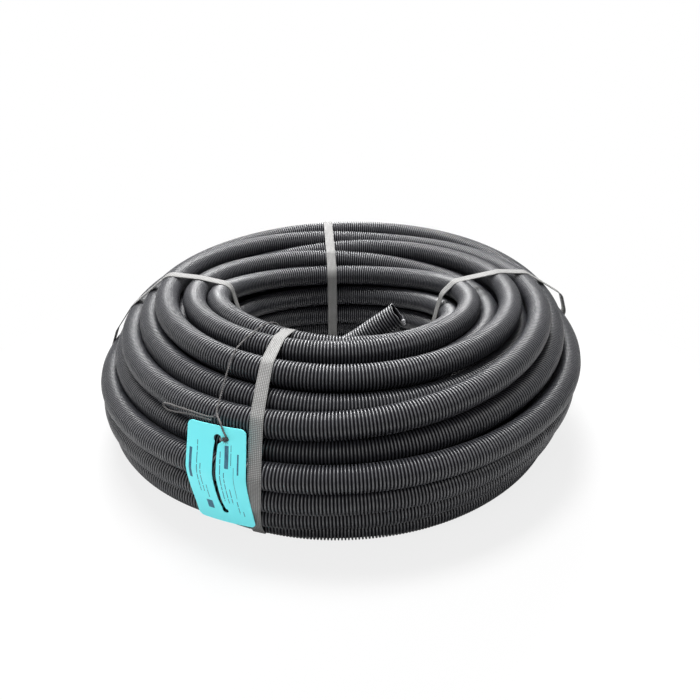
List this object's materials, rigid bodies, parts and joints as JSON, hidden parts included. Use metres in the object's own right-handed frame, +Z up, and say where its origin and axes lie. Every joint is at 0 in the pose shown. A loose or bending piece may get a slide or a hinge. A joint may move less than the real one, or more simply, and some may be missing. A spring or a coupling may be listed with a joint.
{
  "type": "protective conduit coil",
  "caption": "Strapped coil of black corrugated plastic protective conduit lying flat, its free inner end rising from the eye, with a light blue hang tag on a string.",
  "frame": {"origin": "on the floor in the middle of the coil's eye", "axes": "+Z up along the coil's axis, -Y towards the side with the hang tag"},
  "size_m": [0.5362, 0.5359, 0.1655],
  "materials": {
    "conduit_plastic": "matt corrugated polyethylene",
    "strap_plastic": "embossed grey strapping",
    "tag_plastic": "light blue plastic sheet",
    "string_cord": "dark twisted string"
  },
  "bodies": {
    "root": {"conduit": "conduit_plastic", "strap_front": "strap_plastic", "strap_right": "strap_plastic", "strap_back": "strap_plastic", "strap_left": "strap_plastic", "hang_tag": "tag_plastic", "tag_string": "string_cord", "tag_string_loop": "string_cord"}
  },
  "joints": []
}
